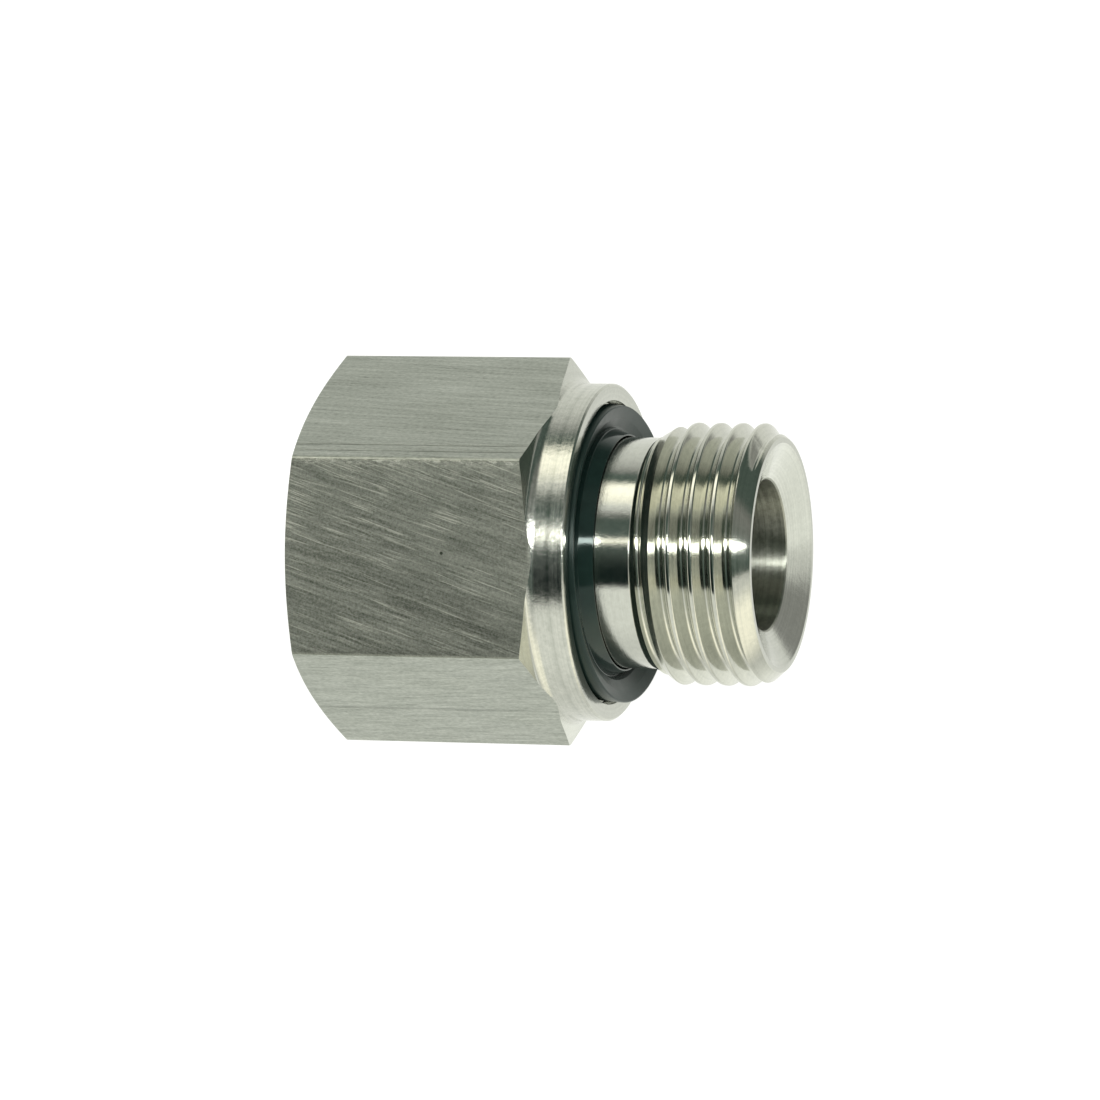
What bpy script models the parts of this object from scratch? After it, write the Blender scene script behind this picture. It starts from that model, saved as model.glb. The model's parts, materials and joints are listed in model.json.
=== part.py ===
"""Reducing adapter: a hexagonal body with a G 3/8 port, turned in one piece with a G 1/2 A stud end.

The collar's recess holds a sealing ring. The adapter lies on one flat of its hexagon, with its
axis along +X and its stud towards +X. Its lengths are measured along that axis from the collar's
sealing face, which is zero, with the stud on the positive side.
"""

import math

import bmesh
import bpy

MM = 0.001

# Hexagon
ACROSS_FLATS = 27.0 * MM
HEX_EDGE_RADIUS = 0.45 * MM
HEX_CHAMFER = math.radians(15.0)
BODY_LENGTH = 23.0 * MM
PORT_FACE_DIAMETER = 25.8 * MM

# Collar, with the recess that holds the ring
COLLAR_DIAMETER = 26.9 * MM
COLLAR_WIDTH = 3.0 * MM
COLLAR_FILLET = 0.5 * MM
COLLAR_EDGE_BREAK = 0.12 * MM
RECESS_DIAMETER = 24.2 * MM
RECESS_DEPTH = 1.15 * MM

# Stud, G 1/2 A, whose groove starts THREAD_LEAD short of the neck's end
STUD_LENGTH = 14.0 * MM
THREAD_DIAMETER = 20.85 * MM
THREAD_PITCH = 1.814 * MM
THREAD_FLANK = math.radians(27.5)
WHITWORTH_DEPTH = 0.640327
WHITWORTH_ARC = 0.137329
THREAD_CHAMFER = math.radians(45.0)
THREAD_LEAD = 0.5 * MM
NECK_DIAMETER = 18.4 * MM
NECK_LENGTH = 4.1 * MM
NECK_FILLET = 0.4 * MM
RUN_OUT_ANGLE = math.radians(30.0)
STUD_FACE_DIAMETER = 18.5 * MM
STUD_FACE_WIDTH = 0.65 * MM
DISH_ANGLE = math.radians(30.0)

# Way through, with the G 3/8 port
BORE_DIAMETER = 12.0 * MM
BORE_EDGE_BREAK = 0.2 * MM
PORT_DIAMETER = 14.95 * MM
PORT_DEPTH = 15.0 * MM
PORT_MOUTH_DIAMETER = 17.2 * MM
PORT_RELIEF_DIAMETER = 17.1 * MM
PORT_RELIEF_WIDTH = 2.6 * MM
PORT_FLOOR_ANGLE = math.radians(30.0)

# Sealing ring
RING_LIP_HEIGHT = 1.05 * MM
RING_LIP_WIDTH = 0.4 * MM
RING_LIP_RADIUS = 0.18 * MM
RING_FLOOR_HEIGHT = 0.25 * MM
RING_SLOPE_WIDTH = 0.95 * MM
RING_EDGE_RADIUS = 0.15 * MM
RING_GAP = 0.25 * MM

# Fineness of the round shapes, and how far blanks and cutters reach past what they shape
ROUND_STEPS = 64
CORNER_STEPS = 3
SHARP_ANGLE = math.radians(28.0)
BLANK_MARGIN = 0.3 * MM
CUTTER_MARGIN = 2.0 * MM
CREST_CLEARANCE = 0.05 * MM


def clear_scene():
    for old in list(bpy.data.objects):
        bpy.data.objects.remove(old, do_unlink=True)


def new_collection(name):
    collection = bpy.data.collections.new(name)
    bpy.context.scene.collection.children.link(collection)
    return collection


def new_material(name, colour, roughness, metallic):
    material = bpy.data.materials.new(name)
    material.use_nodes = True
    shader = material.node_tree.nodes["Principled BSDF"]
    shader.inputs["Base Color"].default_value = (*colour, 1.0)
    shader.inputs["Roughness"].default_value = roughness
    shader.inputs["Metallic"].default_value = metallic
    return material


def rounded(before, corner, after, radius):
    """Points of an arc of this radius that rounds a corner between two straight lines."""
    to_before = (before[0] - corner[0], before[1] - corner[1])
    to_after = (after[0] - corner[0], after[1] - corner[1])
    length_before = math.hypot(*to_before)
    length_after = math.hypot(*to_after)
    to_before = (to_before[0] / length_before, to_before[1] / length_before)
    to_after = (to_after[0] / length_after, to_after[1] / length_after)
    opening = math.acos(to_before[0] * to_after[0] + to_before[1] * to_after[1])
    reach = min(radius / math.tan(opening / 2), 0.45 * length_before, 0.45 * length_after)
    radius = reach * math.tan(opening / 2)
    middle = (to_before[0] + to_after[0], to_before[1] + to_after[1])
    scale = radius / math.sin(opening / 2) / math.hypot(*middle)
    centre = (corner[0] + middle[0] * scale, corner[1] + middle[1] * scale)
    start = (corner[0] + to_before[0] * reach, corner[1] + to_before[1] * reach)
    first = math.atan2(start[1] - centre[1], start[0] - centre[0])
    side = to_before[0] * to_after[1] - to_before[1] * to_after[0]
    sweep = math.copysign(math.pi - opening, -side)
    return [
        (
            centre[0] + radius * math.cos(first + sweep * step / CORNER_STEPS),
            centre[1] + radius * math.sin(first + sweep * step / CORNER_STEPS),
        )
        for step in range(CORNER_STEPS + 1)
    ]


def outline(corners):
    """A closed outline from corners of (radius from the axis, length along it, corner radius)."""
    points = []
    for index, (radius, length, corner_radius) in enumerate(corners):
        if corner_radius == 0:
            points.append((radius, length))
            continue
        before = corners[index - 1][:2]
        after = corners[(index + 1) % len(corners)][:2]
        points += rounded(before, (radius, length), after, corner_radius)
    return points


def turned(name, corners, collection, parent):
    """A closed outline turned about the parent's Z axis."""
    points = outline(corners)
    mesh = bpy.data.meshes.new(name)
    edges = [(index, (index + 1) % len(points)) for index in range(len(points))]
    mesh.from_pydata([(radius, 0, length) for radius, length in points], edges, [])
    piece = bpy.data.objects.new(name, mesh)
    piece.parent = parent
    collection.objects.link(piece)
    screw = piece.modifiers.new("turn", "SCREW")
    screw.axis = "Z"
    screw.angle = 2 * math.pi
    screw.steps = screw.render_steps = ROUND_STEPS
    screw.use_merge_vertices = False
    screw.use_normal_calculate = False
    return piece


def body_corners():
    """The body's section, down the outside from the stud's end and back through the bore."""
    collar = COLLAR_DIAMETER / 2
    thread = THREAD_DIAMETER / 2
    neck = NECK_DIAMETER / 2
    recess = RECESS_DIAMETER / 2
    stud_face = STUD_FACE_DIAMETER / 2
    dish = stud_face - STUD_FACE_WIDTH
    bore = BORE_DIAMETER / 2
    bore_mouth = bore + BORE_EDGE_BREAK
    mouth_length = STUD_LENGTH - (dish - bore_mouth) * math.tan(DISH_ANGLE)
    lead_in = (thread - stud_face) / math.tan(THREAD_CHAMFER)
    run_out = (thread - neck) / math.tan(RUN_OUT_ANGLE)
    blank = ACROSS_FLATS / math.sqrt(3) + BLANK_MARGIN
    port_face = PORT_FACE_DIAMETER / 2
    port_mouth = PORT_MOUTH_DIAMETER / 2
    port = PORT_DIAMETER / 2
    relief = PORT_RELIEF_DIAMETER / 2
    floor = PORT_DEPTH - BODY_LENGTH
    chamfer_right = (blank - collar) * math.tan(HEX_CHAMFER)
    chamfer_left = (blank - port_face) * math.tan(HEX_CHAMFER)
    relief_slope = relief - port
    return [
        (stud_face, STUD_LENGTH, 0),
        (thread, STUD_LENGTH - lead_in, 0),
        (thread, NECK_LENGTH + run_out, 0),
        (neck, NECK_LENGTH, NECK_FILLET),
        (neck, -RECESS_DEPTH, 0),
        (recess, -RECESS_DEPTH, 0),
        (recess, 0, 0),
        (collar - COLLAR_EDGE_BREAK, 0, 0),
        (collar, -COLLAR_EDGE_BREAK, 0),
        (collar, -COLLAR_WIDTH, COLLAR_FILLET),
        (blank, -COLLAR_WIDTH - chamfer_right, 0),
        (blank, -BODY_LENGTH + chamfer_left, 0),
        (port_face, -BODY_LENGTH, 0),
        (port_mouth, -BODY_LENGTH, 0),
        (port, -BODY_LENGTH + port_mouth - port, 0),
        (port, floor - PORT_RELIEF_WIDTH, 0),
        (relief, floor - PORT_RELIEF_WIDTH + relief_slope, 0),
        (relief, floor, 0),
        (bore, floor + (relief - bore) * math.tan(PORT_FLOOR_ANGLE), 0),
        (bore, mouth_length - BORE_EDGE_BREAK, 0),
        (bore_mouth, mouth_length, 0),
        (dish, STUD_LENGTH, 0),
    ]


def flats_cutter(collection, parent):
    """A thick tube with a hexagonal hole, which leaves the six flats on the turned blank."""
    corner = ACROSS_FLATS / math.sqrt(3)
    front = -COLLAR_WIDTH + COLLAR_FILLET * math.tan(math.radians(45) - HEX_CHAMFER / 2)
    back = -BODY_LENGTH - CUTTER_MARGIN
    tube = prism("flats_tube", ROUND_STEPS, corner + CUTTER_MARGIN, back, front, collection, parent)
    hexagon = prism(
        "hexagon", 6, corner, back - CUTTER_MARGIN, front + CUTTER_MARGIN, collection, parent
    )
    bevel = hexagon.modifiers.new("edges", "BEVEL")
    bevel.width = HEX_EDGE_RADIUS * math.tan(math.radians(30))
    bevel.segments = CORNER_STEPS
    bevel.limit_method = "ANGLE"
    cut(tube, hexagon)
    return tube


def prism(name, sides, corner_radius, back, front, collection, parent):
    """A prism about the parent's Z axis, with a corner on its Y axis."""
    shape = bmesh.new()
    bmesh.ops.create_cone(
        shape,
        cap_ends=True,
        segments=sides,
        radius1=corner_radius,
        radius2=corner_radius,
        depth=front - back,
    )
    bmesh.ops.translate(shape, verts=shape.verts, vec=(0, 0, (front + back) / 2))
    return cutter_object(name, shape, collection, parent)


def cut(piece, cutter):
    boolean = piece.modifiers.new(cutter.name, "BOOLEAN")
    boolean.operation = "DIFFERENCE"
    boolean.solver = "EXACT"
    boolean.object = cutter


def groove_section():
    """Half of the thread's groove, from its root outwards, as (distance along the axis, radius).

    The thread is the Whitworth form: its flanks lean by THREAD_FLANK, its crests and roots are
    arcs of one radius, and its depth follows from the pitch.
    """
    crest = THREAD_DIAMETER / 2
    arc = WHITWORTH_ARC * THREAD_PITCH
    root = crest - WHITWORTH_DEPTH * THREAD_PITCH
    cosine = math.cos(THREAD_FLANK)
    sine = math.sin(THREAD_FLANK)
    shoulder = (THREAD_PITCH / 2 - arc * cosine, crest - arc * (1 - sine))
    lip = (THREAD_PITCH / 2 - arc * cosine / 2, crest)
    slope = (lip[0] - shoulder[0]) / (lip[1] - shoulder[1])
    clear = (lip[0] + slope * CREST_CLEARANCE, lip[1] + CREST_CLEARANCE)
    return [
        (0, root),
        (arc * cosine, root + arc * (1 - sine)),
        shoulder,
        clear,
        (clear[0], crest + CUTTER_MARGIN),
    ]


def thread_cutter(collection, parent):
    """The groove's section swept along the right-hand helix, from above the neck to past the end."""
    half = groove_section()
    section = [(-along, radius) for along, radius in reversed(half[1:])] + half
    start = NECK_LENGTH - THREAD_LEAD
    turns = (STUD_LENGTH + THREAD_PITCH - start) / THREAD_PITCH
    steps = math.ceil(turns * ROUND_STEPS)
    shape = bmesh.new()
    corners = [shape.verts.new((radius, 0, start + along)) for along, radius in section]
    shape.faces.new(corners)
    bmesh.ops.spin(
        shape,
        geom=shape.verts[:] + shape.edges[:] + shape.faces[:],
        cent=(0, 0, 0),
        axis=(0, 0, 1),
        dvec=(0, 0, THREAD_PITCH / ROUND_STEPS),
        angle=2 * math.pi * steps / ROUND_STEPS,
        steps=steps,
    )
    bmesh.ops.recalc_face_normals(shape, faces=shape.faces)
    return cutter_object("thread_groove", shape, collection, parent)


def cutter_object(name, shape, collection, parent):
    """Turns a bmesh into an object that only cuts, and frees it."""
    mesh = bpy.data.meshes.new(name)
    shape.to_mesh(mesh)
    shape.free()
    piece = bpy.data.objects.new(name, mesh)
    piece.parent = parent
    piece.hide_render = True
    piece.display_type = "WIRE"
    collection.objects.link(piece)
    return piece


def ring_corners():
    """The ring's section: a thick outer lip that stands proud, and a front dished to the neck."""
    outer = RECESS_DIAMETER / 2 - RING_GAP
    inner = NECK_DIAMETER / 2 + RING_GAP
    back = -RECESS_DEPTH + RING_GAP
    crest = outer - RING_LIP_WIDTH
    return [
        (crest, RING_LIP_HEIGHT, RING_LIP_RADIUS),
        (outer, RING_LIP_HEIGHT, RING_LIP_RADIUS),
        (outer, back, RING_EDGE_RADIUS),
        (inner, back, RING_EDGE_RADIUS),
        (inner, RING_FLOOR_HEIGHT, RING_EDGE_RADIUS),
        (crest - RING_SLOPE_WIDTH, RING_FLOOR_HEIGHT, 0),
    ]


def finish(piece, material):
    """Applies the piece's modifiers, shades it smooth up to its sharp edges and gives it its material."""
    graph = bpy.context.evaluated_depsgraph_get()
    mesh = bpy.data.meshes.new_from_object(piece.evaluated_get(graph))
    piece.modifiers.clear()
    piece.data = mesh
    mesh.shade_smooth()
    mesh.set_sharp_from_angle(angle=SHARP_ANGLE)
    mesh.materials.clear()
    mesh.materials.append(material)


def main():
    clear_scene()
    parts = new_collection("reducing_adapter")
    cutters = new_collection("cutters")
    steel = new_material("stainless_steel", (0.55, 0.55, 0.52), 0.3, 1.0)
    rubber = new_material("black_rubber", (0.02, 0.022, 0.022), 0.45, 0.0)

    axis = bpy.data.objects.new("adapter_axis", None)
    parts.objects.link(axis)
    axis.rotation_euler = (0, math.radians(90), 0)
    axis.location = ((BODY_LENGTH - STUD_LENGTH) / 2, 0, ACROSS_FLATS / 2)

    body = turned("adapter_body", body_corners(), parts, axis)
    cut(body, flats_cutter(cutters, axis))
    cut(body, thread_cutter(cutters, axis))
    finish(body, steel)

    ring = turned("sealing_ring", ring_corners(), parts, axis)
    finish(ring, rubber)


main()
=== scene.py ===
import json
import math

import bmesh
import bpy
from mathutils import Matrix, Vector

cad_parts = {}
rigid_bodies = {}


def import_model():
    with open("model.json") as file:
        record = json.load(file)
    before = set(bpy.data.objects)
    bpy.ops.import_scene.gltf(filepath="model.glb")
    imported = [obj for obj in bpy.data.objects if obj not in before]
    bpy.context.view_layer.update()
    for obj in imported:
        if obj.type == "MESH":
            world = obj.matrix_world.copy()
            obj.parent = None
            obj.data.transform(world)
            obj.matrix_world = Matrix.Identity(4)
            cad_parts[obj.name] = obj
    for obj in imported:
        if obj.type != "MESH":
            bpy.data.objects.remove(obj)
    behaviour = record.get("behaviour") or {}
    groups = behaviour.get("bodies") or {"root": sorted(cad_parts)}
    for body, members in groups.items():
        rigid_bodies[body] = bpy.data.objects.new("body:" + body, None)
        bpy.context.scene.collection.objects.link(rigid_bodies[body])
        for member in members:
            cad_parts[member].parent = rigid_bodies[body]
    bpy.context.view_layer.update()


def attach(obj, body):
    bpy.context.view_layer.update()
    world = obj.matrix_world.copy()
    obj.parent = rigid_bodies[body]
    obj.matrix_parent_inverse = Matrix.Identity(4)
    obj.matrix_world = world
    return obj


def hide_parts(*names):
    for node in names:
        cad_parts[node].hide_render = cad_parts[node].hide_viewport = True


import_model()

mm = 0.001
axisHeight = 13.5 * mm  # the adapter lies on a flat, half of 27 mm below its axis
collarFace = 4.5 * mm  # lengths below are measured from the collar's sealing face, in mm
scene = bpy.context.scene


# small tools for modelling by hand

def onlySelect(piece):
    if bpy.context.object and bpy.context.object.mode != "OBJECT":
        bpy.ops.object.mode_set(mode="OBJECT")
    bpy.ops.object.select_all(action="DESELECT")
    piece.select_set(True)
    bpy.context.view_layer.objects.active = piece


def editPiece(piece, selectMode="VERT"):
    onlySelect(piece)
    bpy.ops.object.mode_set(mode="EDIT")
    bpy.ops.mesh.select_mode(type=selectMode)


def pick(piece, kind, test):
    # selects the verts, edges or faces that pass the test, and nothing else
    shape = bmesh.from_edit_mesh(piece.data)
    bpy.ops.mesh.select_all(action="DESELECT")
    for element in getattr(shape, kind):
        if test(element):
            element.select_set(True)
    shape.select_flush_mode()
    bmesh.update_edit_mesh(piece.data)


def fromAxis(place):
    return math.hypot(place.y, place.z - axisHeight)


def onCircle(edge, radius, x):
    return all(abs(fromAxis(v.co) - radius) < 1e-6 and abs(v.co.x - x) < 1e-6 for v in edge.verts)


def placeInMesh(piece):
    onlySelect(piece)
    bpy.ops.object.transform_apply(location=True, rotation=True, scale=True)


def faceOutwards():
    bpy.ops.mesh.select_all(action="SELECT")
    bpy.ops.mesh.normals_make_consistent(inside=False)
    bpy.ops.object.mode_set(mode="OBJECT")


def steadyFaces(piece):
    # smooth shading depends on how a face is split, and so on its first corner, which booleans and
    # bevels leave to chance: each face is made again from its corner furthest along the adapter
    along = Vector((1, 0.0013, 0.0028))  # a little askew, so that no two corners tie
    shape = bmesh.new()
    shape.from_mesh(piece.data)
    for face in list(shape.faces):
        corners = list(face.verts)
        first = max(range(len(corners)), key=lambda i: corners[i].co.dot(along))
        shape.faces.remove(face)
        shape.faces.new(corners[first:] + corners[:first])
    shape.to_mesh(piece.data)
    shape.free()


def cutAway(piece, cutter):
    onlySelect(piece)
    change = piece.modifiers.new("cut", "BOOLEAN")
    change.operation = "DIFFERENCE"
    change.solver = "EXACT"
    change.object = cutter
    bpy.ops.object.modifier_apply(modifier=change.name)
    bpy.data.objects.remove(cutter, do_unlink=True)


def addPrism(sides, radius, depth, middle):
    # a prism along the adapter's axis
    bpy.ops.object.select_all(action="DESELECT")
    bpy.ops.mesh.primitive_cylinder_add(
        vertices=sides,
        radius=radius,
        depth=depth,
        location=(middle, 0, axisHeight),
        rotation=(0, math.radians(90), 0),
    )
    piece = bpy.context.object
    placeInMesh(piece)
    return piece


def turnSection(name, corners, steps):
    # a ring of edges is pulled along the axis from corner to corner, and the last joins the first
    radius, length = corners[0][:2]
    bpy.ops.object.select_all(action="DESELECT")
    bpy.ops.mesh.primitive_circle_add(
        vertices=steps,
        radius=radius * mm,
        location=(collarFace + length * mm, 0, axisHeight),
        rotation=(0, math.radians(90), 0),
    )
    piece = bpy.context.object
    piece.name = piece.data.name = name
    placeInMesh(piece)
    editPiece(piece, "EDGE")
    bpy.ops.mesh.select_all(action="SELECT")
    for nextRadius, nextLength, _ in corners[1:]:
        bpy.ops.mesh.extrude_region_move(
            TRANSFORM_OT_translate={"value": ((nextLength - length) * mm, 0, 0)}
        )
        centre = (collarFace + nextLength * mm, 0, axisHeight)
        scale = nextRadius / radius
        bpy.ops.transform.resize(value=(1, scale, scale), center_override=centre)
        radius, length = nextRadius, nextLength
    ends = [(corners[i][0] * mm, collarFace + corners[i][1] * mm) for i in (0, -1)]
    pick(piece, "edges", lambda e: e.is_boundary and any(onCircle(e, *end) for end in ends))
    bpy.ops.mesh.bridge_edge_loops()
    for index, corner in enumerate(corners):
        if corner[2]:
            roundCorner(piece, corners[index - 1], corner, corners[(index + 1) % len(corners)])
    faceOutwards()
    return piece


def roundCorner(piece, before, corner, after):
    # bevels the ring of edges at a corner, by the reach that an arc of its radius needs
    place = Vector(corner[:2])
    opening = (Vector(before[:2]) - place).angle(Vector(after[:2]) - place)
    reach = corner[2] / math.tan(opening / 2)
    pick(piece, "edges", lambda e: onCircle(e, corner[0] * mm, collarFace + corner[1] * mm))
    segments = 6 if corner[2] > 0.3 else 4  # broad rounds get more
    bpy.ops.mesh.bevel(offset=reach * mm, segments=segments, profile=0.5, affect="EDGES")


whitworth = {
    "flank": 27.5,
    # the rest in pitches
    "sharpDepth": 0.8004,  # from the crest to the groove's tip before it is rounded
    "tipRound": 0.3,
    "shoulderRound": 0.074,
}


def makeGroove(thread):
    # the groove's section: a V whose tip and shoulders are rounded, under the axis
    pitch = thread["pitch"]
    side = 1 if thread["outside"] else -1  # an outside thread's V points at the axis
    crest = thread["crestDiameter"] / 2
    tip = crest - side * whitworth["sharpDepth"] * pitch
    shoulder = whitworth["sharpDepth"] * pitch * math.tan(math.radians(whitworth["flank"]))
    land = pitch / 2 - thread["crestLand"] / 2
    start = collarFace + thread["start"] * mm
    bpy.ops.object.select_all(action="DESELECT")
    bpy.ops.mesh.primitive_circle_add(
        vertices=3, fill_type="NGON", radius=1 * mm, location=(0, 0, axisHeight),
    )
    groove = bpy.context.object
    groove.name = "groove"
    corners = [(0, tip), (shoulder, crest), (-shoulder, crest)]
    for vertex, (along, radius) in zip(groove.data.vertices, corners):
        vertex.co = (start + along * mm, 0, -radius * mm)

    def atRadius(vertex, radius):
        return abs(vertex.co.z + radius * mm) < 1e-7

    editPiece(groove, "EDGE")
    pick(groove, "edges", lambda e: all(atRadius(v, crest) for v in e.verts))
    bpy.ops.mesh.extrude_region_move()
    middle = (start, 0, axisHeight - crest * mm)
    bpy.ops.transform.resize(value=(land / shoulder, 1, 1), center_override=middle)
    outwards = (0, 0, -side * thread["reach"] * mm)
    bpy.ops.mesh.extrude_region_move(TRANSFORM_OT_translate={"value": outwards})
    bpy.ops.mesh.select_mode(type="FACE")
    bpy.ops.mesh.select_all(action="SELECT")
    bpy.ops.mesh.dissolve_faces()
    bpy.ops.mesh.select_mode(type="VERT")
    pick(groove, "verts", lambda v: atRadius(v, tip))
    tipRound = whitworth["tipRound"] * pitch * mm
    bpy.ops.mesh.bevel(offset=tipRound, segments=6, profile=0.5, affect="VERTICES")
    pick(groove, "verts", lambda v: atRadius(v, crest)
         and abs(abs(v.co.x - start) - shoulder * mm) < 1e-7)
    shoulderRound = whitworth["shoulderRound"] * pitch * mm
    bpy.ops.mesh.bevel(offset=shoulderRound, segments=4, profile=0.5, affect="VERTICES")
    bpy.ops.mesh.select_all(action="SELECT")
    bpy.ops.mesh.delete(type="ONLY_FACE")
    bpy.ops.object.mode_set(mode="OBJECT")
    return groove


def cutThread(piece, thread):
    # the groove is wound along a right-hand helix, closed at both ends and cut away
    cutter = makeGroove(thread)
    pitch = thread["pitch"]
    turns = thread["length"] / pitch
    windings = round(turns * thread["steps"])
    wind = cutter.modifiers.new("wind", "SCREW")
    wind.axis = "X"
    wind.angle = 2 * math.pi * turns
    wind.screw_offset = thread["length"] * mm
    wind.steps = wind.render_steps = windings
    wind.use_merge_vertices = False
    onlySelect(cutter)
    bpy.ops.object.modifier_apply(modifier=wind.name)
    placeInMesh(cutter)
    if thread["fade"]:
        fadeGroove(cutter, thread, windings)
    editPiece(cutter, "EDGE")
    for share in (0, 1):
        across = Matrix.Rotation(2 * math.pi * turns * share, 3, "X") @ Vector((0, 1, 0))
        middle = Vector((collarFace + thread["start"] * mm + thread["length"] * mm * share, 0, axisHeight))
        pick(cutter, "edges", lambda e: e.is_boundary and all(
            inStep(v, middle, across, 0.6 * pitch) for v in e.verts
        ))
        bpy.ops.mesh.edge_face_add()
    faceOutwards()
    cutAway(piece, cutter)


def inStep(vertex, middle, across, halfWidth):
    # whether a vertex of a wound cutter lies in the plane of one step, near the step's middle
    off = vertex.co - middle
    return abs(off.dot(across)) < 2e-6 and abs(off.x) < halfWidth * mm


def fadeGroove(cutter, thread, last):
    # lifts the cutter's last steps out of the work, so that the groove ends in a point
    lift = 1.3
    editPiece(cutter)
    for step in range(last - thread["fade"] + 1, last + 1):
        along = thread["length"] * step / last
        turned = Matrix.Rotation(2 * math.pi * thread["length"] / thread["pitch"] * step / last, 3, "X")
        out = turned @ Vector((0, 0, -1))
        across = turned @ Vector((0, 1, 0))
        middle = Vector((collarFace + (thread["start"] + along) * mm, 0, axisHeight))
        pick(cutter, "verts", lambda v: inStep(v, middle, across, 0.5 * thread["pitch"])
             and (v.co - middle).dot(out) > 0)
        share = (step - last + thread["fade"]) / thread["fade"]
        bpy.ops.transform.translate(value=out * share * lift * mm)
    bpy.ops.object.mode_set(mode="OBJECT")


# adapter body: one turned piece of hexagon bar

adapter = {
    "steps": 192,
    "acrossFlats": 27.0,
    "hexEdgeRadius": 0.45,
    # the flats' cutter: where it starts and ends, and how far it reaches past what it cuts
    "flatsFrom": -2.6,
    "flatsTo": -25.0,
    "margin": 2.0,
    "weld": 0.0005,
    "smoothUnder": 28.0,
    # (radius, length, rounding) in mm, from the stud's end over the outside and back through the bore
    "section": [
        (9.33, 14.0, 0.06),
        (10.425, 12.75, 0.15),
        (10.425, 6.222, 0),
        (9.2, 4.1, 0.4),
        (9.2, -1.15, 0),
        (12.1, -1.15, 0.1),
        (12.1, 0.0, 0.06),
        (13.31, 0.0, 0.02),
        (13.45, -0.14, 0.02),
        (13.45, -3.0, 0.85),
        (15.888, -3.653, 0),
        (15.888, -22.253, 0),
        (13.3, -23.0, 0.1),
        (8.6, -23.0, 0.05),
        (7.475, -21.875, 0),
        (7.475, -10.6, 0.05),
        (8.55, -9.525, 0.1),
        (8.55, -8.0, 0.2),
        (6.0, -6.528, 0.05),
        (6.0, 12.62, 0.04),
        (6.14, 12.72, 0.04),
        (8.9, 14.0, 0.05),
    ],
}

studThread = {  # G 1/2 A, cut as in the CAD: same pitch, start and hand
    "outside": True,
    "pitch": 1.814,
    "crestDiameter": 20.85,
    "crestLand": 0.06,
    "start": 3.6,
    "length": 10.27,
    "reach": 1.5,
    "steps": 192,
    "fade": 34,  # steps over which the groove runs out at the stud's end
}

portThread = {  # G 3/8, hidden in the port, where the CAD has a plain bore
    "outside": False,
    "pitch": 1.337,
    "crestDiameter": 14.95,
    "crestLand": 0.05,
    "start": -24.5,
    "length": 15.2,
    "reach": 1.2,
    "steps": 128,
    "fade": 0,
}


def cutFlats(piece):
    # a sleeve with a hexagonal hole leaves the six flats on the turned blank
    corner = adapter["acrossFlats"] / math.sqrt(3)
    margin = adapter["margin"]
    front = collarFace + adapter["flatsFrom"] * mm
    back = collarFace + adapter["flatsTo"] * mm
    depth = front - back
    middle = (front + back) / 2
    sleeve = addPrism(64, (corner + margin) * mm, depth, middle)
    hexagon = addPrism(6, corner * mm, depth + 2 * margin * mm, middle)
    editPiece(hexagon, "EDGE")
    pick(hexagon, "edges", lambda e: abs(e.verts[0].co.x - e.verts[1].co.x) > 10 * mm)
    reach = adapter["hexEdgeRadius"] * math.tan(math.radians(30)) * mm
    bpy.ops.mesh.bevel(offset=reach, segments=5, profile=0.5, affect="EDGES")
    bpy.ops.object.mode_set(mode="OBJECT")
    cutAway(sleeve, hexagon)
    cutAway(piece, sleeve)


def makeAdapterBody():
    piece = turnSection("adapterBody", adapter["section"], adapter["steps"])
    cutFlats(piece)
    cutThread(piece, studThread)
    cutThread(piece, portThread)
    editPiece(piece)
    bpy.ops.mesh.select_all(action="SELECT")
    bpy.ops.mesh.remove_doubles(threshold=adapter["weld"] * mm)
    faceOutwards()
    steadyFaces(piece)
    bpy.ops.object.shade_smooth_by_angle(angle=math.radians(adapter["smoothUnder"]))
    return piece


body = makeAdapterBody()
print("adapter body:", len(body.data.polygons), "faces")


# sealing ring: moulded rubber, a thin lip on the neck and a broad dished one, with a hollow between

sealingRing = {
    "steps": 192,
    "smoothUnder": 40.0,
    "section": [
        (10.85, 0.56, 0.08),
        (11.85, 0.92, 0.12),
        (11.85, -0.58, 0.1),
        (9.3, -0.58, 0.05),
        (9.3, 1.22, 0.05),
        (9.43, 1.22, 0.04),
        (9.82, 0.1, 0.06),
        (10.05, 0.1, 0.05),
    ],
    # the broad lip is loose in the recess: it sags a little, and its lower far side stands proud
    "broadFrom": 9.95,
    "lift": 0.15,
    "sag": 0.17,
    "leans": {"Y": 3.2, "Z": 1.8},
}


def makeSealingRing():
    piece = turnSection("sealingRing", sealingRing["section"], sealingRing["steps"])
    editPiece(piece)
    broadFrom = sealingRing["broadFrom"] * mm
    pick(piece, "verts", lambda v: v.co.x - collarFace > 0 and fromAxis(v.co) > broadFrom)
    bpy.ops.transform.translate(value=(sealingRing["lift"] * mm, 0, -sealingRing["sag"] * mm))
    for axis, lean in sealingRing["leans"].items():
        bpy.ops.transform.rotate(
            value=math.radians(lean),
            orient_axis=axis,
            orient_type="GLOBAL",
            center_override=(collarFace, 0, axisHeight),
        )
    bpy.ops.object.mode_set(mode="OBJECT")
    steadyFaces(piece)
    bpy.ops.object.shade_smooth_by_angle(angle=math.radians(sealingRing["smoothUnder"]))
    return piece


ring = makeSealingRing()
print("sealing ring:", len(ring.data.polygons), "faces")


# finishes

def linear(hexValue):
    channels = [int(hexValue[i:i + 2], 16) / 255 for i in (1, 3, 5)]
    return (*[c / 12.92 if c <= 0.04045 else ((c + 0.055) / 1.055) ** 2.4 for c in channels], 1.0)


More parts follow.
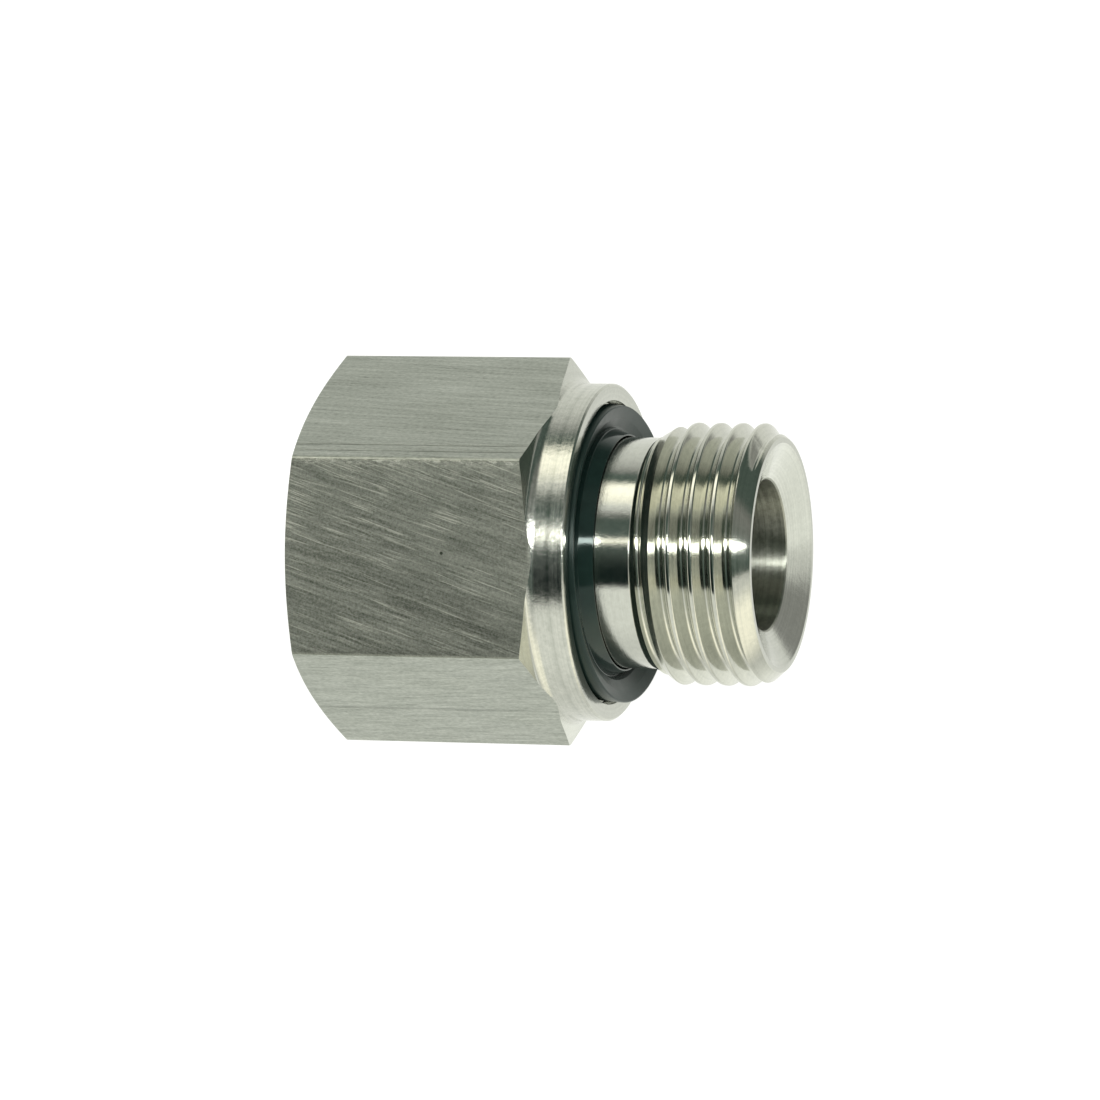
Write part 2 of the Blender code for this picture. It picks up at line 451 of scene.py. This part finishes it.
def addNode(tree, kind, inputs=None, **settings):
    # one node: its settings, and for each input a plain value or another node's output
    made = tree.nodes.new(kind)
    for name, value in settings.items():
        setattr(made, name, value)
    for name, value in (inputs or {}).items():
        if isinstance(value, bpy.types.NodeSocket):
            tree.links.new(value, made.inputs[name])
        else:
            made.inputs[name].default_value = value
    return made


def newMaterial(name):
    material = bpy.data.materials.new(name)
    material.use_nodes = True
    tree = material.node_tree
    return material, tree, tree.nodes["Principled BSDF"]


def vectorMaths(tree, operation, inputs):
    return addNode(tree, "ShaderNodeVectorMath", inputs, operation=operation).outputs


def placeOnAxis(tree):
    # the place in mm, measured from the centre of the collar's face
    place = addNode(tree, "ShaderNodeTexCoord").outputs["Object"]
    centred = vectorMaths(tree, "SUBTRACT", {0: place, 1: (collarFace, 0, axisHeight)})[0]
    return vectorMaths(tree, "SCALE", {0: centred, "Scale": 1 / mm})[0]


def radiusFromAxis(tree, place):
    across = vectorMaths(tree, "MULTIPLY", {0: place, 1: (0, 1, 1)})[0]
    return vectorMaths(tree, "LENGTH", {0: across})["Value"]


def splitPlace(tree, place):
    return addNode(tree, "ShaderNodeSeparateXYZ", {0: place}).outputs


def turnedPlace(tree, place, axis, degrees):
    turn = [math.radians(-degrees) if name == axis else 0 for name in "XYZ"]
    return addNode(tree, "ShaderNodeMapping", {"Vector": place, "Rotation": turn}).outputs[0]


def noise(tree, place, scale, detail=3.0, roughness=0.6):
    # scale is in features a mm, one number or one for each axis
    scales = scale if isinstance(scale, tuple) else (scale, scale, scale)
    stretched = vectorMaths(tree, "MULTIPLY", {0: place, 1: scales})[0]
    return addNode(tree, "ShaderNodeTexNoise", {
        "Vector": stretched, "Scale": 1.0, "Detail": detail, "Roughness": roughness,
    }).outputs["Fac"]


def mapped(tree, value, fromLow, fromHigh, toLow=0.0, toHigh=1.0):
    return addNode(tree, "ShaderNodeMapRange", {
        "Value": value, "From Min": fromLow, "From Max": fromHigh, "To Min": toLow, "To Max": toHigh,
    }).outputs["Result"]


def maths(tree, operation, first, second=0.0):
    return addNode(tree, "ShaderNodeMath", {0: first, 1: second}, operation=operation).outputs[0]


def halves(tree, first, second):
    return maths(tree, "ADD", maths(tree, "MULTIPLY", first, 0.5), maths(tree, "MULTIPLY", second, 0.5))


def blend(tree, share, first, second):
    return addNode(tree, "ShaderNodeMix", {
        "Factor": share, "A": first, "B": second,
    }, data_type="RGBA").outputs["Result"]


def bumped(tree, height, depth, over=None):
    # depth in mm, for a height of 1
    inputs = {"Strength": 1.0, "Distance": depth * mm, "Height": height}
    if over is not None:
        inputs["Normal"] = over
    return addNode(tree, "ShaderNodeBump", inputs).outputs["Normal"]


def roundTheAxis(tree, shader, spread):
    # turning marks run round the axis, so a light is drawn out along it
    way = addNode(tree, "ShaderNodeTangent", direction_type="RADIAL", axis="X")
    tree.links.new(way.outputs["Tangent"], shader.inputs["Tangent"])
    shader.inputs["Anisotropic"].default_value = spread
    shader.inputs["Anisotropic Rotation"].default_value = 0.25


turnedFinishes = {
    # stainless, finish-turned: bright, with fine rings that streak a highlight along the axis
    "turnedStainless": {
        "dark": "#BBBDB5", "light": "#CBCDC4", "roughness": (0.10, 0.16), "spread": 0.6,
        "lines": 5.0, "lineHeight": 0.006, "cloudHeight": 0.008,
    },
    # the collar is turned too, then tumbled: hazy and mottled, with few streaks
    "tumbledStainless": {
        "dark": "#AEB1A8", "light": "#CFD0C7", "roughness": (0.15, 0.24), "spread": 0.3,
        "lines": 3.0, "lineHeight": 0.003, "cloudHeight": 0.014,
    },
    # thread flanks and crests, bright from the cutter
    "threadedStainless": {
        "dark": "#B9BBB1", "light": "#CDCEC3", "roughness": (0.09, 0.15), "spread": 0.3,
        "lines": 4.0, "lineHeight": 0.002, "cloudHeight": 0.004,
    },
    # the drilled way through, rougher, with deeper rings
    "drilledStainless": {
        "dark": "#8A8D82", "light": "#B0B2A6", "roughness": (0.30, 0.42), "spread": 0.9,
        "lines": 3.0, "lineHeight": 0.03, "cloudHeight": 0.01,
    },
}


def turnedSteel(name, finish):
    material, tree, shader = newMaterial(name)
    place = placeOnAxis(tree)
    radius = radiusFromAxis(tree, place)
    along = splitPlace(tree, place)["X"]
    section = addNode(tree, "ShaderNodeCombineXYZ", {"X": along, "Y": radius}).outputs[0]
    rings = noise(tree, section, finish["lines"])
    cloud = noise(tree, place, 2.2, 5.0, 0.7)
    mixed = maths(tree, "ADD", rings, cloud)
    roughness = mapped(tree, mixed, 0.75, 1.25, *finish["roughness"])
    tree.links.new(roughness, shader.inputs["Roughness"])
    tone = mapped(tree, mixed, 0.7, 1.3)
    colour = blend(tree, tone, linear(finish["dark"]), linear(finish["light"]))
    tree.links.new(colour, shader.inputs["Base Color"])
    ringed = bumped(tree, rings, finish["lineHeight"])
    tree.links.new(bumped(tree, cloud, finish["cloudHeight"], ringed), shader.inputs["Normal"])
    shader.inputs["Metallic"].default_value = 1.0
    roundTheAxis(tree, shader, finish["spread"])
    return material


drawnBar = {
    "dark": "#8A8F86", "light": "#C3C7BE", "mark": "#5E635B", "roughness": (0.34, 0.46),
    # lines and grain run along the bar, the lines a little slantwise
    "turn": -5.0, "lines": (0.12, 3.4, 3.4), "grain": (2.5, 6.0, 6.0), "cloud": (0.12, 0.3, 0.3),
    "height": 0.012,
    # marks of the drawing die, as (y in mm, half width, upper side, depth of tone)
    "dieLines": [(-6.74, 0.05, True, 0.9), (-5.84, 0.05, True, 0.9), (-10.94, 0.07, False, 0.4)],
    "dieDepth": 1.5,
}


def lineMask(tree, value, centre, halfWidth):
    # 1 on a line of this half width, falling to 0 beside it
    distance = maths(tree, "ABSOLUTE", maths(tree, "SUBTRACT", value, centre))
    return mapped(tree, distance, halfWidth, halfWidth * 1.8, 1.0, 0.0)


def drawnSteel(name):
    # hexagon bar as drawn: dull, with fine lines along the bar and a few die marks
    material, tree, shader = newMaterial(name)
    place = placeOnAxis(tree)
    lines = noise(tree, turnedPlace(tree, place, "Z", drawnBar["turn"]), drawnBar["lines"], 4.0, 0.7)
    grain = noise(tree, place, drawnBar["grain"], 3.0, 0.7)
    cloud = noise(tree, place, drawnBar["cloud"])
    ground = halves(tree, lines, grain)
    tone = mapped(tree, ground, 0.33, 0.67)
    colour = blend(tree, tone, linear(drawnBar["dark"]), linear(drawnBar["light"]))
    parts = splitPlace(tree, place)
    upper = mapped(tree, parts["Z"], -0.5, 0.5)
    lower = mapped(tree, parts["Z"], -0.5, 0.5, 1.0, 0.0)
    wander = mapped(tree, noise(tree, place, 0.2, 2.0), 0.3, 0.7, -0.05, 0.05)
    across = maths(tree, "ADD", parts["Y"], wander)
    marks = 0.0
    for centre, halfWidth, onTop, depth in drawnBar["dieLines"]:
        line = lineMask(tree, across, centre, halfWidth)
        mark = maths(tree, "MULTIPLY", line, upper if onTop else lower)
        marks = maths(tree, "MAXIMUM", marks, maths(tree, "MULTIPLY", mark, depth))
    fade = mapped(tree, noise(tree, place, 0.25), 0.35, 0.6, 0.35, 0.85)
    colour = blend(tree, maths(tree, "MULTIPLY", marks, fade), colour, linear(drawnBar["mark"]))
    tree.links.new(colour, shader.inputs["Base Color"])
    roughness = mapped(tree, cloud, 0.3, 0.7, *drawnBar["roughness"])
    tree.links.new(roughness, shader.inputs["Roughness"])
    height = maths(tree, "SUBTRACT", ground, maths(tree, "MULTIPLY", marks, drawnBar["dieDepth"]))
    tree.links.new(bumped(tree, height, drawnBar["height"]), shader.inputs["Normal"])
    shader.inputs["Metallic"].default_value = 1.0
    return material


scuffedBar = {
    "dark": "#5B5F56", "light": "#989B90", "roughness": (0.34, 0.46), "height": 0.018,
    "flatTurn": 60.0,  # the near flat's lean from the upright
    "speck": 5.5, "streak": (0.2, 3.6, 3.6), "streakTurn": -18.0,
    # turn from the bar's length, scratches a mm across, share of the noise from which one shows
    "scratches": [(-19.0, 9.0, 0.63), (-16.0, 11.0, 0.65), (-22.0, 10.0, 0.65)],
    "scratch": "#C4C5B8", "scratchTone": 0.45, "scratchDepth": 0.4,
    "knockTone": 0.7, "knockFrom": 7.0, "knockTo": 7.7,
    # a small pit, drawn only as its painted shade, a dark spot where the shape has no hollow: place along
    # the bar and up the flat, radius
    "pitShade": (-9.94, 0.39, 0.16), "pitShadeColour": "#2E322C", "pitShadeTone": 0.85,
}


def scuffedSteel(name):
    # the same bar on its near flat, rubbed slantwise: scratches on a dull, speckled ground
    material, tree, shader = newMaterial(name)
    # laid flat: x along the bar, y up the flat
    laid = turnedPlace(tree, placeOnAxis(tree), "X", scuffedBar["flatTurn"])
    speck = noise(tree, laid, scuffedBar["speck"], 4.0, 0.8)
    slant = turnedPlace(tree, laid, "Z", scuffedBar["streakTurn"])
    streak = noise(tree, slant, scuffedBar["streak"], 4.0, 0.75)
    ground = halves(tree, speck, streak)
    tone = mapped(tree, ground, 0.33, 0.67)
    colour = blend(tree, tone, linear(scuffedBar["dark"]), linear(scuffedBar["light"]))
    parts = splitPlace(tree, laid)
    # most scratches lie up and to the left
    corner = maths(tree, "SUBTRACT", parts["Y"], maths(tree, "MULTIPLY", parts["X"], 0.4))
    patches = mapped(tree, noise(tree, laid, (0.25, 0.4, 0.4), 2.0), 0.3, 0.7, -0.05, 0.05)
    crowd = maths(tree, "ADD", mapped(tree, corner, -4.0, 12.0, -0.05, 0.02), patches)
    scratches = 0.0
    for turn, across, share in scuffedBar["scratches"]:
        strand = noise(tree, turnedPlace(tree, laid, "Z", turn), (0.17, across, across), 2.0, 0.5)
        strand = maths(tree, "ADD", strand, crowd)
        scratches = maths(tree, "MAXIMUM", scratches, mapped(tree, strand, share, share + 0.08))
    # its upper edge is knocked
    edge = mapped(tree, parts["Y"], scuffedBar["knockFrom"], scuffedBar["knockTo"])
    chips = mapped(tree, noise(tree, laid, (1.5, 4.0, 4.0), 3.0, 0.7), 0.5, 0.6)
    knocks = maths(tree, "MULTIPLY", maths(tree, "MULTIPLY", edge, chips), scuffedBar["knockTone"])
    shine = maths(tree, "MULTIPLY", scratches, scuffedBar["scratchTone"])
    bright = maths(tree, "MAXIMUM", shine, knocks)
    colour = blend(tree, bright, colour, linear(scuffedBar["scratch"]))
    # painted shade: a dark spot in the colour stands in for the shade inside a small hollow that the shape
    # does not have
    pitX, pitY, pitSize = scuffedBar["pitShade"]
    onFlat = addNode(tree, "ShaderNodeCombineXYZ", {"X": parts["X"], "Y": parts["Y"]}).outputs[0]
    off = vectorMaths(tree, "DISTANCE", {0: onFlat, 1: (pitX, pitY, 0)})["Value"]
    pitShade = maths(tree, "MULTIPLY", mapped(tree, off, pitSize * 0.6, pitSize, 1.0, 0.0), scuffedBar["pitShadeTone"])
    colour = blend(tree, pitShade, colour, linear(scuffedBar["pitShadeColour"]))
    tree.links.new(colour, shader.inputs["Base Color"])
    roughness = mapped(tree, ground, 0.35, 0.65, *scuffedBar["roughness"])
    tree.links.new(roughness, shader.inputs["Roughness"])
    height = maths(tree, "SUBTRACT", ground, maths(tree, "MULTIPLY", scratches, scuffedBar["scratchDepth"]))
    tree.links.new(bumped(tree, height, scuffedBar["height"]), shader.inputs["Normal"])
    shader.inputs["Metallic"].default_value = 1.0
    return material


rubber = {
    "dark": "#101C19", "light": "#1C2D29", "shine": 0.4, "shineColour": "#E4F6EF", "height": 0.008,
    # the lip on the neck is oiled up to the first radius, and the rest is matt from the second
    "oiledTo": 9.8, "mattFrom": 10.1, "oiled": 0.02, "matt": 0.26,
}


def mouldedRubber(name):
    # nitrile rubber, compression moulded: near black and a little green
    material, tree, shader = newMaterial(name)
    place = placeOnAxis(tree)
    cloud = noise(tree, place, 0.8, 5.0)
    colour = blend(tree, cloud, linear(rubber["dark"]), linear(rubber["light"]))
    tree.links.new(colour, shader.inputs["Base Color"])
    radius = radiusFromAxis(tree, place)
    matt = mapped(tree, radius, rubber["oiledTo"], rubber["mattFrom"], rubber["oiled"], rubber["matt"])
    roughness = maths(tree, "ADD", matt, mapped(tree, cloud, 0.3, 0.7, 0.04, 0.1))
    tree.links.new(roughness, shader.inputs["Roughness"])
    tree.links.new(bumped(tree, cloud, rubber["height"]), shader.inputs["Normal"])
    shader.inputs["Specular IOR Level"].default_value = rubber["shine"]
    shader.inputs["Specular Tint"].default_value = linear(rubber["shineColour"])
    return material


# where one operation's finish ends and the next begins, as lengths and radii in mm
finishZones = {
    "flatRadius": 12.5,  # the flats' faces lie outside it
    "collarBack": -3.0,
    "recessRadius": 12.11,
    "threadStart": 4.3,
    "threadRadius": 9.0,
    "boreRadius": 8.7,
    "boreMouth": 12.7,
    "nearFlat": 0,  # counted round the axis in sixths
}


def finishOf(face):
    length = (face.center.x - collarFace) / mm
    radius = fromAxis(face.center) / mm
    if (length < finishZones["collarBack"] and radius > finishZones["flatRadius"]
            and abs(face.normal.x) < 0.05):
        radial = (face.center - Vector((face.center.x, 0, axisHeight))).normalized()
        turn = round(math.degrees(math.atan2(radial.z, -radial.y)) / 60 - 0.5)
        return "scuffedStainless" if turn == finishZones["nearFlat"] else "drawnStainless"
    if finishZones["collarBack"] <= length <= 0 and radius > finishZones["recessRadius"]:
        return "tumbledStainless"
    if (length > finishZones["threadStart"] and radius > finishZones["threadRadius"]
            and abs(face.normal.x) < 0.99):
        return "threadedStainless"
    if radius < finishZones["boreRadius"] and length < finishZones["boreMouth"]:
        return "drilledStainless"
    return "turnedStainless"


def wearFinishes(piece):
    # each face takes the finish of the operation that made it
    made = [turnedSteel(name, finish) for name, finish in turnedFinishes.items()]
    made += [drawnSteel("drawnStainless"), scuffedSteel("scuffedStainless")]
    slots = {}
    for material in made:
        slots[material.name] = len(slots)
        piece.data.materials.append(material)
    for face in piece.data.polygons:
        face.material_index = slots[finishOf(face)]


wearFinishes(body)
ring.data.materials.append(mouldedRubber("mouldedRubber"))
print("finishes: done")


# each piece stands in for its CAD part, which is hidden, and moves with the root body

for piece, node, slot in (
    (body, "adapter_body", "stainless_steel"),
    (ring, "sealing_ring", "black_rubber"),
):
    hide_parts(node)
    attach(piece, "root")


# studio: white floor, light tent, strip light, camera

studio = {
    "floorSize": 6.0,
    "strip": {
        "elevation": 44.0, "distance": 0.9, "centre": 1.15, "depth": 0.09, "width": 2.4, "glow": 22.0,
        "colour": "#FFFFFF",
    },
    # what the tent shows the adapter: (degrees from the front, up over the top and down behind, glow)
    "tent": {
        "left": [
            (-180, 0.6), (-150, 1.0), (-20, 1.3), (0, 1.5), (12, 1.1), (20, 0.9), (34, 0.6), (36, 14.0),
            (41, 14.0), (43, 0.6), (66, 0.5), (76, 0.9), (82, 1.5), (100, 1.5), (106, 0.5), (125, 0.4),
            (180, 0.6),
        ],
        "middle": [
            (-180, 1.0), (-150, 1.0), (-133, 1.1), (-90, 0.97), (-71, 0.97), (-43, 1.15), (-3, 1.15),
            (-1, 0.02), (15, 0.02), (27, 0.07), (41, 0.16), (42.5, 2.1), (45.5, 2.1), (47, 0.18),
            (66, 0.16), (71, 0.35), (75, 0.8), (80, 1.15), (86, 1.6), (98, 2.1), (104, 1.9), (109, 0.2),
            (117, 0.2), (122, 0.4), (128, 0.62), (137, 0.82), (150, 0.95), (180, 1.05),
        ],
        "right": [
            (-180, 1.0), (-150, 0.92), (-143, 1.0), (-136, 1.3), (-120, 1.2), (-95, 0.8), (-75, 1.5),
            (-45, 1.6), (-20, 0.95), (-3, 0.9), (0, 0.14), (30, 0.2), (90, 0.3), (105, 0.15),
            (150, 0.15), (162, 0.7), (180, 0.9),
        ],
    },
    # where one ramp gives way to the next, from the middle outwards (as cosines)
    "toLeft": (-0.5, -0.66),
    "toRight": (-0.02, 0.2),
    # a dark screen low on the far right: where it stands, how far it reaches (as cosines), and its glow
    "screen": {"way": (0.69, 0.72, -0.06), "reach": (0.925, 0.96), "glow": 0.36},
    # a ramp's colours end at 1, so glows are divided by this and the tent's strength is as much
    "brightest": 2.0,
}

camera = {
    "azimuth": 17.48,
    "height": 2.7729,
    "roll": 0.0815,
    "lean": -30.0,  # the adapter lies on a flat, so the photo's view is leaned forward
    "distance": 571.0,
    "shiftRight": -5.013,
    "shiftUp": 0.187,
    "lens": 234.4,
}


def makeFloor():
    # plain white to the camera only: the adapter sees the tent in its place
    bpy.ops.object.select_all(action="DESELECT")
    bpy.ops.mesh.primitive_plane_add(size=studio["floorSize"], location=(0, 0, 0))
    floor = bpy.context.object
    floor.name = "floor"
    material, _, shader = newMaterial("whiteTable")
    shader.inputs["Base Color"].default_value = (0.12, 0.12, 0.12, 1)
    shader.inputs["Roughness"].default_value = 0.9
    shader.inputs["Specular IOR Level"].default_value = 0.0
    shader.inputs["Emission Color"].default_value = (1, 1, 0.985, 1)
    shader.inputs["Emission Strength"].default_value = 1.0
    floor.data.materials.append(material)
    floor.visible_glossy = floor.visible_diffuse = floor.visible_shadow = False


def makeStrip():
    # a strip light in front and above, along the adapter, which points at its axis
    strip = studio["strip"]
    lamp = bpy.data.lights.new("stripLight", "AREA")
    lamp.shape = "RECTANGLE"
    lamp.size, lamp.size_y = strip["width"], strip["depth"]
    lamp.energy = strip["glow"] * math.pi * strip["width"] * strip["depth"]
    lamp.color = linear(strip["colour"])[:3]
    holder = bpy.data.objects.new("stripLight", lamp)
    scene.collection.objects.link(holder)
    angle = math.radians(strip["elevation"])
    target = Vector((strip["centre"], 0, axisHeight))
    place = Vector((
        strip["centre"],
        -strip["distance"] * math.cos(angle),
        axisHeight + strip["distance"] * math.sin(angle),
    ))
    holder.location = place
    holder.rotation_euler = (target - place).to_track_quat("-Z", "Y").to_euler()
    holder.visible_camera = False


def glowColour(glow):
    # dark parts of the tent are green, bright ones warm
    tints = ((0.05, "#A8F0E6"), (0.25, "#D2F0E2"), (1.35, "#FBFCF6"), (4, "#FFFBEC"), (99, "#FFFFFF"))
    tint = linear(next(colour for limit, colour in tints if glow < limit))
    return (*[channel * glow / studio["brightest"] for channel in tint[:3]], 1)


def addRamp(tree, share, stops):
    ramp = addNode(tree, "ShaderNodeValToRGB", {"Fac": share})
    elements = ramp.color_ramp.elements
    while len(elements) < len(stops):
        elements.new(0.5)
    for element, (degrees, glow) in zip(elements, stops):
        element.position = (degrees + 180) / 360
        element.color = glowColour(glow)
    return ramp.outputs["Color"]


def makeTent():
    world = bpy.data.worlds.new("tent")
    scene.world = world
    world.use_nodes = True
    tree = world.node_tree
    tree.nodes.clear()
    way = addNode(tree, "ShaderNodeTexCoord").outputs["Generated"]
    parts = splitPlace(tree, way)
    front = maths(tree, "MULTIPLY", parts["Y"], -1.0)
    turn = maths(tree, "ARCTAN2", parts["Z"], front)
    share = mapped(tree, turn, -math.pi, math.pi)
    tones = {side: addRamp(tree, share, stops) for side, stops in studio["tent"].items()}
    toLeft = mapped(tree, parts["X"], *studio["toLeft"])
    toRight = mapped(tree, parts["X"], *studio["toRight"])
    tone = blend(tree, toLeft, tones["middle"], tones["left"])
    tone = blend(tree, toRight, tone, tones["right"])
    screen = studio["screen"]
    near = vectorMaths(tree, "DOT_PRODUCT", {0: way, 1: screen["way"]})["Value"]
    tone = blend(tree, mapped(tree, near, *screen["reach"]), tone, glowColour(screen["glow"]))
    tent = addNode(tree, "ShaderNodeBackground", {"Color": tone, "Strength": studio["brightest"]})
    plain = addNode(tree, "ShaderNodeBackground", {"Color": (1, 1, 1, 1), "Strength": 1.0})
    seen = addNode(tree, "ShaderNodeLightPath").outputs["Is Camera Ray"]
    both = addNode(tree, "ShaderNodeMixShader", {0: seen, 1: tent.outputs[0], 2: plain.outputs[0]})
    addNode(tree, "ShaderNodeOutputWorld", {"Surface": both.outputs[0]})


def makeCamera():
    # back is the way from the adapter to the camera, which is rolled so that the axis lies level
    azimuth, height, roll = (math.radians(camera[name]) for name in ("azimuth", "height", "roll"))
    level = math.cos(height)
    back = Vector((math.sin(azimuth) * level, -math.cos(azimuth) * level, math.sin(height)))
    right = Vector((math.cos(azimuth), math.sin(azimuth), 0))
    up = back.cross(right)
    right, up = math.cos(roll) * right + math.sin(roll) * up, math.cos(roll) * up - math.sin(roll) * right
    lean = Matrix.Rotation(math.radians(camera["lean"]), 3, "X")
    back, right, up = (lean @ way for way in (back, right, up))
    place = Vector((collarFace, 0, axisHeight))
    place += (back * camera["distance"] + right * camera["shiftRight"] + up * camera["shiftUp"]) * mm
    lens = bpy.data.cameras.new("camera")
    lens.lens = camera["lens"]
    lens.sensor_width = 36.0
    lens.clip_start, lens.clip_end = 0.01, 20.0
    holder = bpy.data.objects.new("camera", lens)
    scene.collection.objects.link(holder)
    turn = Matrix((right, up, back)).transposed().to_4x4()
    holder.matrix_world = Matrix.Translation(place) @ turn
    scene.camera = holder


makeFloor()
makeStrip()
makeTent()
makeCamera()
scene.view_settings.view_transform = "Standard"
scene.view_settings.look = "None"
print("studio: done")
